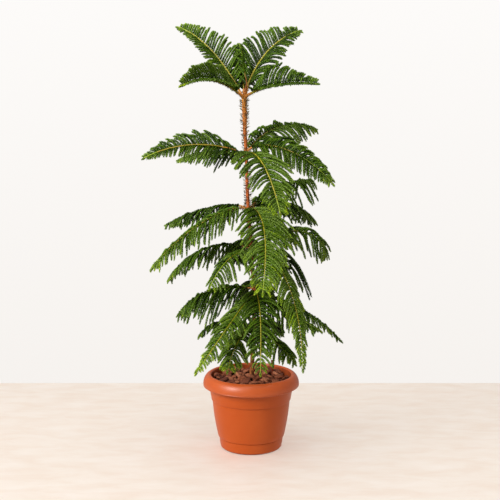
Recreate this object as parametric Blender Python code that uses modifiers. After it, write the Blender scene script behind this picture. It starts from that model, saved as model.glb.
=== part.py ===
"""A young Norfolk Island pine (Araucaria heterophylla) in a round plastic pot.

Metres, +Z up. The origin is at the centre of the pot's flat underside, the
pot's axis is +Z, and the plant's front looks along -Y. The plant is a slender
trunk with six whorls of boughs. Each bough is a short bare limb that ends in a
flat feathery mass of foliage, arched along one smooth rib. The whorls are
named t (top), s, u, v, w and x (lowest), and the boughs are numbered round
each whorl.
"""

import math
import random

import bmesh
import bpy
import numpy as np
from mathutils import Vector
from mathutils.bvhtree import BVHTree

# ---------------------------------------------------------------- sizes
GAP = 0.0004  # clearance between neighbouring solids

# Pot, turned about +Z
POT_TOP = 0.188  # crest of the rolled rim
RIM_R = 0.120  # outermost radius of the rim
RIM_WIDEST_Z = 0.1625
RIM_FOOT_Z = 0.1595  # lower edge of the rim
RIM_FOOT_R = 0.1178
CREST_R = 0.1035  # radius at the crest
MOUTH_R = 0.0995  # inner radius just under the crest
NECK_R = 0.1050  # body just under the rim
BAND_Z = 0.1240  # upper step in the body
BAND_R = 0.0990
BAND_STEP = 0.0018
SHOE_Z = 0.0300  # lower step in the body
SHOE_R = 0.0830
SHOE_STEP = 0.0024
FOOT_R = 0.0700  # edge of the flat underside
FOOT_ROUND = 0.0075
WALL = 0.0030
FLOOR_T = 0.0040
BELLY = 0.0034  # how far the body bulges past a straight cone
POT_STEPS = 24

# Growing medium
SOIL_TOP = 0.1640
MULCH_EDGE_Z = 0.1745
MULCH_CROWN_Z = 0.1800
MULCH_ROUGH = 0.0016

# Trunk: height -> sideways place of its centreline, and radius
TRUNK_HEIGHTS = (0.1644, 0.182, 0.222, 0.298, 0.399, 0.463, 0.550, 0.608, 0.648, 0.733, 0.781, 0.875, 0.884, 0.893, 0.903, 0.911, 0.919, 0.938, 0.957, 0.976, 0.993)
TRUNK_LEAN_X = (0.0012, 0.0014, 0.0030, 0.0068, 0.0078, 0.0024, -0.0030, -0.0072, -0.0093, -0.0116, -0.0149, -0.0169, -0.0156, -0.0128, -0.0109, -0.0113, -0.0134, -0.0176, -0.0200, -0.0218, -0.0236)
TRUNK_FLARE_R = 0.0105  # at the flat cut on the soil
TRUNK_BASE_R = 0.0056  # above the flare
TRUNK_NECK_R = 0.0038  # the taper's end, under the top whorl
TRUNK_SWELL = 0.0022  # the fleshy young length below the top whorl
SWELL_Z = (0.742, 0.862)
LEADER_R = 0.0019
TIP_R = 0.0009

SECOND_STEM = dict(x=0.0550, y=0.030, z0=0.1650, z1=0.2140, lean=-0.0030, r0=0.0029, r1=0.0019)

# One row for each bough:
#   height on the trunk, azimuth (degrees, 0 = +X, 90 = +Y), length of the rib,
#   slope at the trunk, slope at the tip, how late it bends, sideways swing,
#   half width of the foliage, how early it narrows, upward fold of its sides (V),
#   arch of its twigs, hang of its sides, how much wider one side is than the other,
#   roll about the rib, bare share of the rib (0 = foliage right up to the bark)
BOUGHS = {
    "t1": (0.874, 148, 0.263, 56, 18, 1.57, -3, 0.048, 1.50, 0.20, 0.30, 0.00, 0.25, 30, 0.08),
    "t2": (0.873, 227, 0.229, 34, -21, 0.93, 9, 0.030, 1.60, 0.60, 0.35, 0.00, 0.30, 42, 0.10),
    "t3": (0.876, 94, 0.240, 53, 14, 1.10, 0, 0.036, 1.00, 0.10, 0.35, 0.50, 0.00, 0, 0.06),
    "t4": (0.877, 42, 0.243, 72, 16, 0.90, -6, 0.057, 1.50, 0.15, 0.35, 0.00, -0.13, -32, 0.09),
    "t5": (0.874, 323, 0.207, 38, -5, 0.40, 1, 0.034, 1.00, 0.60, 0.35, 0.00, -0.30, -45, 0.10),
    "s1": (0.733, 194, 0.253, 24, -26, 0.98, 1, 0.046, 1.25, 0.10, 0.18, 0.12, 0.12, 40, 0.07),
    "s2": (0.728, 131, 0.290, 10, -16, 0.85, -4, 0.030, 1.25, 0.00, 0.30, 0.80, 0.00, 15, 0.08),
    "s3": (0.734, 288, 0.272, 23, -60, 0.60, 4, 0.064, 1.40, 0.00, 0.16, 0.18, 0.00, 0, 0.06),
    "s4": (0.736, 45, 0.249, 57, -15, 0.67, -9, 0.052, 1.25, 0.00, 0.30, 0.50, 0.00, -25, 0.06),
    "s5": (0.744, 337, 0.245, 51, -47, 0.40, 2, 0.050, 1.25, 0.00, 0.30, 0.20, 0.00, -32, 0.06),
    "u1": (0.604, 144, 0.254, 27, -26, 0.32, 10, 0.042, 1.60, 0.00, 0.25, 0.80, 0.00, 0, 0.10),
    "u2": (0.603, 206, 0.289, 17, -48, 0.43, -4, 0.050, 1.10, 0.00, 0.25, 0.75, 0.00, 0, 0.08),
    "u3": (0.602, 293, 0.315, 17, -65, 0.60, -36, 0.060, 1.80, 0.00, 0.15, 0.28, 0.00, 0, 0.06),
    "u4": (0.601, 50, 0.262, 14, -38, 1.00, -6, 0.048, 2.20, 0.00, 0.25, 0.60, 0.00, 0, 0.08),
    "u5": (0.605, 38, 0.216, 33, -3, 1.00, 4, 0.052, 4.00, 0.00, 0.40, 0.85, 0.00, 0, 0.08),
    "u6": (0.601, 318, 0.180, -7, -40, 0.90, -7, 0.036, 1.40, 0.00, 0.25, 0.50, 0.00, 0, 0.08),
    "v1": (0.503, 155, 0.263, 21, -55, 0.75, 2, 0.046, 1.10, 0.00, 0.20, 0.80, 0.00, 0, 0.08),
    "v2": (0.499, 239, 0.202, 6, -50, 1.14, 0, 0.045, 1.20, 0.00, 0.20, 0.60, -0.18, 0, 0.08),
    "v3": (0.500, 41, 0.150, 4, -48, 0.60, 0, 0.062, 6.00, 0.00, 0.60, 0.70, 0.00, 0, 0.0),
    "v4": (0.499, 311, 0.373, 27, -80, 0.46, -29, 0.030, 1.40, 0.00, 0.20, 0.80, 0.00, 0, 0.06),
    "v5": (0.504, 345, 0.226, 33, -98, 2.15, 11, 0.048, 3.00, 0.00, 0.20, 0.50, 0.00, -20, 0.06),
    "v6": (0.501, 100, 0.240, 20, -55, 1.00, 0, 0.046, 1.40, 0.00, 0.20, 0.60, 0.00, 0, 0.0),
    "w1": (0.404, 173, 0.217, 5, -56, 1.29, -10, 0.052, 1.00, 0.00, 0.20, 1.00, 0.00, 10, 0.06),
    "w2": (0.395, 244, 0.290, -22, -39, 0.80, -13, 0.042, 0.95, 0.00, 0.15, 0.35, 0.00, 0, 0.06),
    "w3": (0.398, 280, 0.262, 5, -80, 0.80, -15, 0.046, 1.40, 0.00, 0.15, 0.26, 0.00, 0, 0.0),
    "w4": (0.396, 3, 0.254, -18, -50, 1.40, 5, 0.034, 1.00, 0.00, 0.20, 0.70, 0.00, 0, 0.08),
    "w5": (0.391, 322, 0.200, -19, -22, 1.00, 5, 0.046, 1.40, 0.00, 0.20, 0.65, 0.00, 0, 0.0),
    "w6": (0.401, 86, 0.238, 12, -57, 1.00, 0, 0.046, 1.40, 0.00, 0.20, 0.60, 0.00, 0, 0.0),
    "x1": (0.306, 167, 0.156, 14, -64, 1.75, -7, 0.036, 1.40, 0.00, 0.20, 0.55, 0.00, 0, 0.0),
    "x2": (0.304, 243, 0.165, 6, -62, 0.90, 1, 0.048, 1.40, 0.00, 0.20, 0.45, 0.00, 0, 0.0),
    "x3": (0.301, 316, 0.148, -12, -40, 1.00, 0, 0.042, 1.40, 0.00, 0.20, 0.50, 0.00, 0, 0.0),
    "x4": (0.305, 68, 0.170, 14, -50, 1.00, 0, 0.044, 1.40, 0.00, 0.20, 0.50, 0.00, 0, 0.0),
}
SWEEP = 0.62  # how far the sides run forward, for each metre of half width
CORE_T = 0.0062  # half thickness along the rib
EDGE_T = 0.0021  # half thickness near the outer edge
LIMB_R = 0.0021
LIMB_END_R = 0.0017
STATIONS = 9  # sections along a mass
ACROSS = (-1.0, -0.52, 0.0, 0.52, 1.0)

# colour (linear RGB), roughness
FINISH = {
    "plastic": ((0.46, 0.080, 0.022), 0.42),
    "soil": ((0.035, 0.018, 0.010), 0.95),
    "bark_chips": ((0.120, 0.042, 0.022), 0.85),
    "bark": ((0.230, 0.080, 0.030), 0.75),
    "stem": ((0.300, 0.060, 0.028), 0.60),
    "limb": ((0.330, 0.300, 0.030), 0.60),
    "needles": ((0.050, 0.130, 0.020), 0.55),
}


# ---------------------------------------------------------------- scene
for old in list(bpy.data.objects):
    bpy.data.objects.remove(old, do_unlink=True)

parts = bpy.data.collections.new("potted_norfolk_island_pine")
helpers = bpy.data.collections.new("cutters")
bpy.context.scene.collection.children.link(parts)
bpy.context.scene.collection.children.link(helpers)
helpers.hide_render = True


def finish_of(name, shade=1.0):
    colour, roughness = FINISH[name]
    material = bpy.data.materials.new(name)
    material.use_nodes = True
    shader = material.node_tree.nodes["Principled BSDF"]
    shader.inputs["Base Color"].default_value = (*[c * shade for c in colour], 1.0)
    shader.inputs["Roughness"].default_value = roughness
    shader.inputs["Metallic"].default_value = 0.0
    return material


def add_part(name, mesh, finish, shade=1.0):
    obj = bpy.data.objects.new(name, mesh)
    obj.data.materials.append(finish_of(finish, shade))
    parts.objects.link(obj)
    return obj


def add_cutter(name, mesh):
    obj = bpy.data.objects.new(name, mesh)
    obj.hide_render = True
    obj.display_type = "WIRE"
    helpers.objects.link(obj)
    return obj


def baked(obj):
    """The object's mesh with its modifiers applied, in world space."""
    bpy.context.view_layer.update()
    graph = bpy.context.evaluated_depsgraph_get()
    mesh = bpy.data.meshes.new_from_object(obj.evaluated_get(graph))
    mesh.transform(obj.matrix_world)
    return mesh


# ---------------------------------------------------------------- pot
def arc(cx, cz, rx, rz, start, end, count):
    """Points on an ellipse's arc, angles in degrees from +X towards +Z."""
    for i in range(count):
        a = math.radians(start + (end - start) * i / (count - 1))
        yield cx + rx * math.cos(a), cz + rz * math.sin(a)


def body_radius(z):
    """The body's outer radius: a cone with a slight belly between its steps."""
    share = (z - SHOE_Z) / (BAND_Z - SHOE_Z)
    return SHOE_R + (BAND_R - BAND_STEP - SHOE_R) * share + BELLY * 4 * share * (1 - share) * 0.55


def pot_profile():
    inner_foot = FOOT_R - WALL - 0.002
    points = [(0.0, FLOOR_T), (inner_foot, FLOOR_T), (inner_foot + 0.004, FLOOR_T + 0.005)]
    points.append((body_radius(0.060) - WALL, 0.060))
    points.append((BAND_R - WALL - 0.001, 0.125))
    points.append((MOUTH_R, 0.168))
    points.append((MOUTH_R, POT_TOP - 0.006))
    # the rolled rim, from the mouth over the crest to its widest line
    points += list(arc(CREST_R, POT_TOP - 0.0045, CREST_R - MOUTH_R, 0.0045, 160, 92, 3))
    points += list(arc(CREST_R, RIM_WIDEST_Z, RIM_R - CREST_R, POT_TOP - RIM_WIDEST_Z, 76, 0, 5))
    points.append((RIM_R - 0.0003, RIM_FOOT_Z + 0.0045))
    points.append((RIM_FOOT_R, RIM_FOOT_Z))
    points.append((NECK_R + 0.0005, RIM_FOOT_Z + 0.001))
    points.append((NECK_R, RIM_FOOT_Z - 0.002))
    points.append((BAND_R + 0.0004, BAND_Z + 0.0004))
    points.append((BAND_R - BAND_STEP, BAND_Z - 0.0006))
    for share in (0.66, 0.33):
        z = SHOE_Z + (BAND_Z - SHOE_Z) * share
        points.append((body_radius(z), z))
    points.append((SHOE_R, SHOE_Z + 0.0005))
    points.append((SHOE_R - SHOE_STEP, SHOE_Z - 0.0006))
    points.append((FOOT_R + FOOT_ROUND + 0.0012, 0.0135))
    points += list(arc(FOOT_R, FOOT_ROUND, FOOT_ROUND, FOOT_ROUND, -8, -90, 3))
    points.append((0.0, 0.0))
    return points


def turned(name, points, steps):
    mesh = bpy.data.meshes.new(name)
    mesh.from_pydata([(x, 0.0, z) for x, z in points], [(i, i + 1) for i in range(len(points) - 1)], [])
    obj = bpy.data.objects.new(name, mesh)
    screw = obj.modifiers.new("turn", "SCREW")
    screw.axis = "Z"
    screw.steps = steps
    screw.render_steps = steps
    screw.use_merge_vertices = True
    screw.merge_threshold = 0.0001
    screw.use_smooth_shade = True
    return obj


pot = turned("pot", pot_profile(), POT_STEPS)
pot.data.materials.append(finish_of("plastic"))
parts.objects.link(pot)


def inside_radius(z):
    """The pot's inner radius at a height, read off its own profile."""
    walls = [p for p in pot_profile()[1:7]]
    return float(np.interp(z, [p[1] for p in walls], [p[0] for p in walls]))


# ---------------------------------------------------------------- growing medium
SOIL_STEPS = 24
# A ring of flats lies inside the pot's own flats only if it is a little smaller.
FACET = math.cos(math.pi / SOIL_STEPS)


def soil_profile():
    points = [(0.0, SOIL_TOP), (inside_radius(SOIL_TOP) - 0.0015, SOIL_TOP)]
    for z in (0.125, 0.060, FLOOR_T + 0.005):
        points.append((inside_radius(z) - 0.0012, z))
    points.append((FOOT_R - WALL - 0.004, FLOOR_T + GAP))
    points.append((0.0, FLOOR_T + GAP))
    return points


root_ball = turned("root_ball", soil_profile(), SOIL_STEPS)
root_ball.data.materials.append(finish_of("soil"))
parts.objects.link(root_ball)


def mulch_mesh():
    """A lumpy disc of chips: rings of points, lifted by seeded noise."""
    rng = random.Random(11)
    bm = bmesh.new()
    bmesh.ops.create_cone(
        bm, cap_ends=True, cap_tris=False, segments=26,
        radius1=MOUTH_R - 0.0022, radius2=MOUTH_R - 0.0022, depth=MULCH_EDGE_Z - SOIL_TOP - GAP,
    )
    bmesh.ops.translate(bm, vec=(0, 0, (MULCH_EDGE_Z + SOIL_TOP + GAP) / 2), verts=bm.verts)
    top = max(bm.faces, key=lambda f: f.calc_center_median().z)
    for share in (0.78, 0.58, 0.62):
        ring = bmesh.ops.inset_region(bm, faces=[top], thickness=top.calc_perimeter() / (2 * math.pi) * (1 - share))
        del ring
    bm.verts.ensure_lookup_table()
    for v in bm.verts:
        r = math.hypot(v.co.x, v.co.y)
        if v.co.z > MULCH_EDGE_Z - 0.001:
            dome = 1 - (r / MOUTH_R) ** 2
            rough = rng.uniform(-1, 1) * MULCH_ROUGH if r < MOUTH_R - 0.004 else rng.uniform(-1, 0.4) * MULCH_ROUGH
            v.co.z = MULCH_EDGE_Z + (MULCH_CROWN_Z - MULCH_EDGE_Z) * dome + rough
    bmesh.ops.triangulate(bm, faces=bm.faces[:])
    mesh = bpy.data.meshes.new("mulch")
    bm.to_mesh(mesh)
    bm.free()
    return mesh


# ---------------------------------------------------------------- trunk
def trunk_x(z):
    return float(np.interp(z, TRUNK_HEIGHTS, TRUNK_LEAN_X))


def trunk_radius(z):
    """A root flare on the soil, a long even taper, and a thin leader on top."""
    flare = (TRUNK_FLARE_R - TRUNK_BASE_R) * math.exp(-(z - SOIL_TOP) / 0.010)
    top_whorl = BOUGHS["t1"][0]
    rise = min(1.0, max(0.0, (z - SWELL_Z[0]) / (SWELL_Z[1] - SWELL_Z[0])))
    swell = TRUNK_SWELL * rise * rise * (3 - 2 * rise)
    if z < top_whorl:
        body = TRUNK_BASE_R + (TRUNK_NECK_R - TRUNK_BASE_R) * (z - SOIL_TOP) / (top_whorl - SOIL_TOP) + swell
    else:
        share = (z - top_whorl) / (TRUNK_HEIGHTS[-1] - top_whorl)
        body = LEADER_R + (TIP_R - LEADER_R) * share
        body += (TRUNK_NECK_R + swell - LEADER_R) * math.exp(-(z - top_whorl) / 0.006)
    return body + flare


def tube(name, points, radii, sides=8):
    """A capped tube along a smooth path, as a mesh."""
    curve = bpy.data.curves.new(name, "CURVE")
    curve.dimensions = "3D"
    curve.bevel_depth = 1.0
    curve.bevel_resolution = (sides - 4) // 2
    curve.use_fill_caps = True
    spline = curve.splines.new("POLY")
    spline.points.add(len(points) - 1)
    for point, co, r in zip(spline.points, points, radii):
        point.co = (*co, 1.0)
        point.radius = r
    holder = bpy.data.objects.new(name, curve)
    bpy.context.scene.collection.objects.link(holder)
    mesh = baked(holder)
    bpy.data.objects.remove(holder, do_unlink=True)
    bm = bmesh.new()
    bm.from_mesh(mesh)
    bmesh.ops.remove_doubles(bm, verts=bm.verts[:], dist=0.00002)
    bmesh.ops.recalc_face_normals(bm, faces=bm.faces[:])
    bmesh.ops.triangulate(bm, faces=bm.faces[:])
    bm.to_mesh(mesh)
    bm.free()
    return mesh


def trunk_path():
    heights = [SOIL_TOP + GAP, 0.1690, 0.1760, 0.1860, 0.2010, 0.2450, 0.2980, 0.3990, 0.5010,
               0.6030, 0.6670, 0.7320, 0.7700, 0.8050, 0.8400, 0.8660, 0.8750, 0.8860, 0.8990, 0.9130,
               0.9300, 0.9500, 0.9720, 0.9930]
    return [(trunk_x(z), 0.0, z) for z in heights]


def trunk_mesh(grow=0.0):
    path = trunk_path()
    return tube("trunk", path, [trunk_radius(p[2]) + grow for p in path], 10)


trunk = add_part("trunk", trunk_mesh(), "bark")
trunk_cutter = add_cutter("trunk_clearance", trunk_mesh(GAP))

mulch = add_part("mulch", mulch_mesh(), "bark_chips")
well = tube("stem_well", [(trunk_x(SOIL_TOP), 0, SOIL_TOP - 0.004), (trunk_x(SOIL_TOP), 0, 0.19)], [TRUNK_FLARE_R + GAP] * 2, 12)
well_cutter = add_cutter("trunk_well", well)
second = SECOND_STEM
second_well = add_cutter(
    "second_stem_well",
    tube("second_well", [(second["x"], second["y"], 0.150), (second["x"], second["y"], 0.19)], [second["r0"] + 0.0012] * 2, 8),
)
for cutter in (well_cutter, second_well):
    cut = mulch.modifiers.new("well", "BOOLEAN")
    cut.operation = "DIFFERENCE"
    cut.object = cutter

second_path = []
for i in range(5):
    share = i / 4
    second_path.append((second["x"] + second["lean"] * share**1.5, second["y"], second["z0"] + (second["z1"] - second["z0"]) * share))
add_part(
    "second_stem",
    tube("second_stem", second_path, [second["r0"] + (second["r1"] - second["r0"]) * i / 4 for i in range(5)], 8),
    "stem",
)


# ---------------------------------------------------------------- boughs
class Bough:
    """One bough: its rib, and the curved sheet that its foliage fills."""

    def __init__(self, name, row):
        self.name = name
        (self.z, self.azimuth, self.length, self.slope0, self.slope1, self.bend, self.swing,
         self.width, self.taper, self.fold, self.arch, self.hang, self.uneven_sides, self.roll, self.bare) = row
        self.rng = random.Random(name)
        self.steps = 60
        centre = np.array([trunk_x(self.z), 0.0, self.z])
        heading = math.radians(self.azimuth)
        outward = np.array([math.cos(heading), math.sin(heading), 0.0])
        self.points = [centre + outward * trunk_radius(self.z)]
        self.tangents = []
        step = self.length / self.steps
        for i in range(self.steps):
            t = (i + 0.5) / self.steps
            slope = math.radians(self.slope0 + (self.slope1 - self.slope0) * t**self.bend)
            way = math.radians(self.azimuth + self.swing * t)
            d = np.array([math.cos(slope) * math.cos(way), math.cos(slope) * math.sin(way), math.sin(slope)])
            self.tangents.append(d)
            self.points.append(self.points[-1] + d * step)
        self.tangents.append(self.tangents[-1])
        self.points = np.array(self.points)
        self.tangents = np.array(self.tangents)

    def at(self, t):
        """Place, direction, sideways and upper direction at share t of the rib."""
        index = np.clip(t, 0, 1) * self.steps
        knots = np.arange(self.steps + 1)
        place = np.array([np.interp(index, knots, self.points[:, k]) for k in range(3)])
        along = np.array([np.interp(index, knots, self.tangents[:, k]) for k in range(3)])
        along /= np.linalg.norm(along)
        way = math.radians(self.azimuth + self.swing * t)
        side = np.array([-math.sin(way), math.cos(way), 0.0])
        upper = np.cross(along, side)
        upper /= np.linalg.norm(upper)
        side = np.cross(upper, along)
        roll = math.radians(self.roll) * min(1.0, t / 0.25)
        side, upper = side * math.cos(roll) - upper * math.sin(roll), upper * math.cos(roll) + side * math.sin(roll)
        return place, along, side, upper

    def half_width(self, t):
        """Widest soon after the foliage starts, then narrowing to a blunt tip."""
        start = 0.78 + 0.22 * min(1.0, max(0.0, t - self.bare) / 0.16)
        end = 1.0 - 0.80 * max(0.0, (t - 0.30) / 0.70) ** self.taper
        return self.width * start * end

    def sheet(self, t, u, uneven=0.0):
        """A point of the foliage's middle sheet, u from -1 to 1 across."""
        place, along, side, upper = self.at(t)
        x = abs(u)
        w = self.half_width(t) * (1 + uneven) * (1 - self.uneven_sides * u)
        near_tip = max(0.0, (t - 0.6) / 0.4)
        forward = SWEEP * (1 - 0.55 * near_tip) + 0.35 * near_tip**2
        return (
            place
            + side * (u * w)
            + along * (w * forward * x * (0.75 + 0.25 * x))
            + upper * (self.fold * w * x)
            + np.array([0, 0, 1.0]) * (w * (2.2 * self.arch * (x - x * x) - 1.25 * self.hang * x * x))
        )

    def mass_mesh(self, grow=0.0):
        """The foliage as one closed solid, thick along the rib and thin at its edge."""
        rng = random.Random(self.name + "_edge")
        first = self.bare + GAP / self.length if self.bare else 0.0
        shares = np.linspace(first, 1.0, STATIONS)
        ragged = []
        for k in range(STATIONS):
            amount = 0.10 if 0 < k < STATIONS - 1 else 0.0
            sign = 1 if k % 2 else -1
            ragged.append([amount * (0.55 * sign + rng.uniform(-0.7, 0.7)) for _ in (0, 1)])
        last = len(ACROSS) - 1
        sections = []
        for k, t in enumerate(shares):
            top, low = [], []
            for j, u in enumerate(ACROSS):
                uneven = ragged[k][0 if u < 0 else 1] * abs(u)
                p = self.sheet(t, u, uneven)
                du = self.sheet(t, u + 0.02, uneven) - self.sheet(t, u - 0.02, uneven)
                dt = self.sheet(min(1.0, t + 0.01), u, uneven) - self.sheet(max(0.0, t - 0.01), u, uneven)
                normal = np.cross(dt, du)
                normal /= np.linalg.norm(normal)
                thick = EDGE_T + (CORE_T - EDGE_T) * (1 - abs(u)) ** 0.8
                thick *= 1 - 0.45 * max(0.0, (t - 0.5) / 0.5)
                lump = 1 + 0.18 * rng.uniform(-1, 1)
                push = thick * lump + grow
                # the row of points along an outer edge is pinched to one line
                if j in (0, last):
                    if not grow:
                        top.append(p)
                        low.append(None)
                        continue
                    p = p + du / np.linalg.norm(du) * (grow if j else -grow)
                    push = grow
                top.append(p + normal * push)
                low.append(p - normal * push)
            ring = top + [q for q in reversed(low) if q is not None]
            sections.append(ring)
        if grow:
            # each end is carried on along its own sides
            for end, inner in ((0, 1), (-1, -2)):
                lines = [(q, q - r) for q, r in zip(sections[end], sections[inner])]
                sections[end] = [q + line / np.linalg.norm(line) * grow for q, line in lines]
        bm = bmesh.new()
        rows = [[bm.verts.new(tuple(q)) for q in ring] for ring in sections]
        # every face is a triangle with a settled diagonal, so a grown copy stays outside this one
        count = len(rows[0])
        turn = 2 * last + (1 if grow else 0)
        for a, b in zip(rows, rows[1:]):
            for i in range(count):
                j = (i + 1) % count
                bm.faces.new((a[i], b[i], b[j]))
                bm.faces.new((a[i], b[j], a[j]))
        for ring in (rows[0], rows[-1]):
            for j in range(last):
                below, below_next = (turn - j) % count, (turn - j - 1) % count
                if below_next != j + 1:
                    bm.faces.new((ring[j], ring[j + 1], ring[below_next]))
                if below != j:
                    bm.faces.new((ring[j], ring[below_next], ring[below]))
        bmesh.ops.recalc_face_normals(bm, faces=bm.faces[:])
        if bm.calc_volume(signed=True) < 0:
            bmesh.ops.reverse_faces(bm, faces=bm.faces[:])
        mesh = bpy.data.meshes.new(self.name)
        bm.to_mesh(mesh)
        bm.free()
        return mesh

    def limb_mesh(self, grow=0.0):
        """The bare start of the bough: a tapering tube from inside the trunk."""
        count = 4
        path, radii = [], []
        place, along, _, _ = self.at(0.0)
        path.append(tuple(place - along * (trunk_radius(self.z) * 0.8)))
        radii.append(LIMB_R * 1.25 + grow)
        for i in range(count):
            t = self.bare * (i + 0.4) / (count - 0.6) if i else 0.004
            t = min(t, self.bare)
            path.append(tuple(self.at(t)[0]))
            radii.append(LIMB_R * 1.15 + (LIMB_END_R - LIMB_R * 1.15) * i / (count - 1) + grow)
        return tube(self.name, path, radii, 6)


def largest_piece(mesh):
    """Keeps the biggest body of a cut mesh, and tidies its faces."""
    bm = bmesh.new()
    bm.from_mesh(mesh)
    bmesh.ops.remove_doubles(bm, verts=bm.verts[:], dist=0.000002)
    bm.verts.ensure_lookup_table()
    unseen = set(bm.verts)
    islands = []
    while unseen:
        stack, island = [unseen.pop()], set()
        while stack:
            v = stack.pop()
            island.add(v)
            for e in v.link_edges:
                w = e.other_vert(v)
                if w in unseen:
                    unseen.remove(w)
                    stack.append(w)
        islands.append(island)

    def bulk(island):
        lo = [min(v.co[k] for v in island) for k in range(3)]
        hi = [max(v.co[k] for v in island) for k in range(3)]
        return math.dist(lo, hi) * len(island) ** 0.25

    keep = max(islands, key=bulk)
    bmesh.ops.delete(bm, geom=[v for v in bm.verts if v not in keep], context="VERTS")
    bmesh.ops.triangulate(bm, faces=bm.faces[:])
    bm.to_mesh(mesh)
    bm.free()
    return mesh


def tree_of(mesh):
    return BVHTree.FromPolygons([v.co for v in mesh.vertices], [tuple(p.vertices) for p in mesh.polygons])


def carve(obj, cutters):
    """Cuts the object by each cutter that it meets, and keeps its main body."""
    met = 0
    for cutter in cutters:
        if not tree_of(obj.data).overlap(tree_of(cutter.data)):
            continue
        cut = obj.modifiers.new("clear_" + cutter.name, "BOOLEAN")
        cut.operation = "DIFFERENCE"
        cut.solver = "EXACT"
        cut.object = cutter
        whole = baked(obj)
        obj.modifiers.remove(cut)
        whole.name = obj.name
        old = obj.data
        obj.data = largest_piece(whole)
        bpy.data.meshes.remove(old)
        met += 1
    return met


# The order in which masses claim their space: later ones are cut round earlier ones.
ORDER = [
    "t4", "t1", "t5", "t2", "t3",
    "s3", "s1", "s5", "s4", "s2",
    "u3", "u2", "u1", "u5", "u4", "u6",
    "v5", "v4", "v1", "v2", "v6", "v3",
    "w4", "w2", "w3", "w1", "w5", "w6",
    "x2", "x1", "x3", "x4",
]
boughs = {name: Bough(name, BOUGHS[name]) for name in ORDER}
pot_solid = baked(pot)
limb_cutters, mass_cutters = [], []
for name in ORDER:
    bough = boughs[name]
    if bough.bare:
        limb = add_part("limb_" + name, bough.limb_mesh(), "limb")
        carve(limb, [trunk_cutter] + limb_cutters)
        limb_cutters.append(add_cutter("clearance_limb_" + name, bough.limb_mesh(GAP)))
for name in ORDER:
    bough = boughs[name]
    mass = add_part("foliage_" + name, bough.mass_mesh(), "needles", 0.8 + 0.4 * bough.rng.random())
    others = [c for c in limb_cutters if not c.name.endswith("_" + name)]
    cut_count = carve(mass, [trunk_cutter] + others + mass_cutters)
    mass_cutters.append(add_cutter("clearance_" + name, bough.mass_mesh(GAP)))
    print("mass", name, "cut by", cut_count, "faces", len(mass.data.polygons))

for obj in parts.objects:
    if obj.type == "MESH":
        obj.data.shade_smooth()
        obj.data.set_sharp_from_angle(angle=math.radians(35))
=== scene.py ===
"""Looks of the potted Norfolk Island pine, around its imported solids.

Metres, +Z up, front towards -Y. Every bough grows on the same rib as its
solid: a rib, two rows of twigs along it, and needles round each twig, all by
a seeded rule. The pot, its mulch and the bark are modelled as meshes.
"""

import math  # noqa: E402
import random  # noqa: E402

import bmesh  # noqa: E402
import bpy  # noqa: E402
import numpy as np  # noqa: E402
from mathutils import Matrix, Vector, noise  # noqa: E402


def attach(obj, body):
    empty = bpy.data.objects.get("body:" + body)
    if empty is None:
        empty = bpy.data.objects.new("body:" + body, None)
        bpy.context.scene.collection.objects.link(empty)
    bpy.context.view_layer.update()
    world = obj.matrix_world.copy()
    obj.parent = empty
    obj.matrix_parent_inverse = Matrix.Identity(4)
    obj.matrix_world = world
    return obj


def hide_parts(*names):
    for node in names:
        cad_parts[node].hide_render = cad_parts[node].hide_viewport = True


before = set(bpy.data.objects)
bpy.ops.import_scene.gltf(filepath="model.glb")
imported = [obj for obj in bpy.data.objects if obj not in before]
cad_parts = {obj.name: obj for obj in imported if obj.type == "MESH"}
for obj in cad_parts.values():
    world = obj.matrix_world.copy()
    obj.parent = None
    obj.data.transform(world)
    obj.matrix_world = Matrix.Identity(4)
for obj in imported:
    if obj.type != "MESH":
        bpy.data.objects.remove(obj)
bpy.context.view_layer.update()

# ---------------------------------------------------------------- sizes shared with the solids
TRUNK_HEIGHTS = (0.1644, 0.182, 0.222, 0.298, 0.399, 0.463, 0.550, 0.608, 0.648, 0.733, 0.781, 0.875, 0.884, 0.893, 0.903, 0.911, 0.919, 0.938, 0.957, 0.976, 0.993)
TRUNK_LEAN_X = (0.0012, 0.0014, 0.0030, 0.0068, 0.0078, 0.0024, -0.0030, -0.0072, -0.0093, -0.0116, -0.0149, -0.0169, -0.0156, -0.0128, -0.0109, -0.0113, -0.0134, -0.0176, -0.0200, -0.0218, -0.0236)
TRUNK_FLARE_R = 0.0105
TRUNK_BASE_R = 0.0056
TRUNK_NECK_R = 0.0038  # the taper's end, under the top whorl
TRUNK_SWELL = 0.0022  # the fleshy young length below the top whorl
SWELL_Z = (0.742, 0.862)
LEADER_R = 0.0019
TIP_R = 0.0009
SOIL_TOP = 0.1640
MULCH_EDGE_Z = 0.1745
MULCH_CROWN_Z = 0.1860
MOUTH_R = 0.0995
POT_TOP = 0.188

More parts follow.
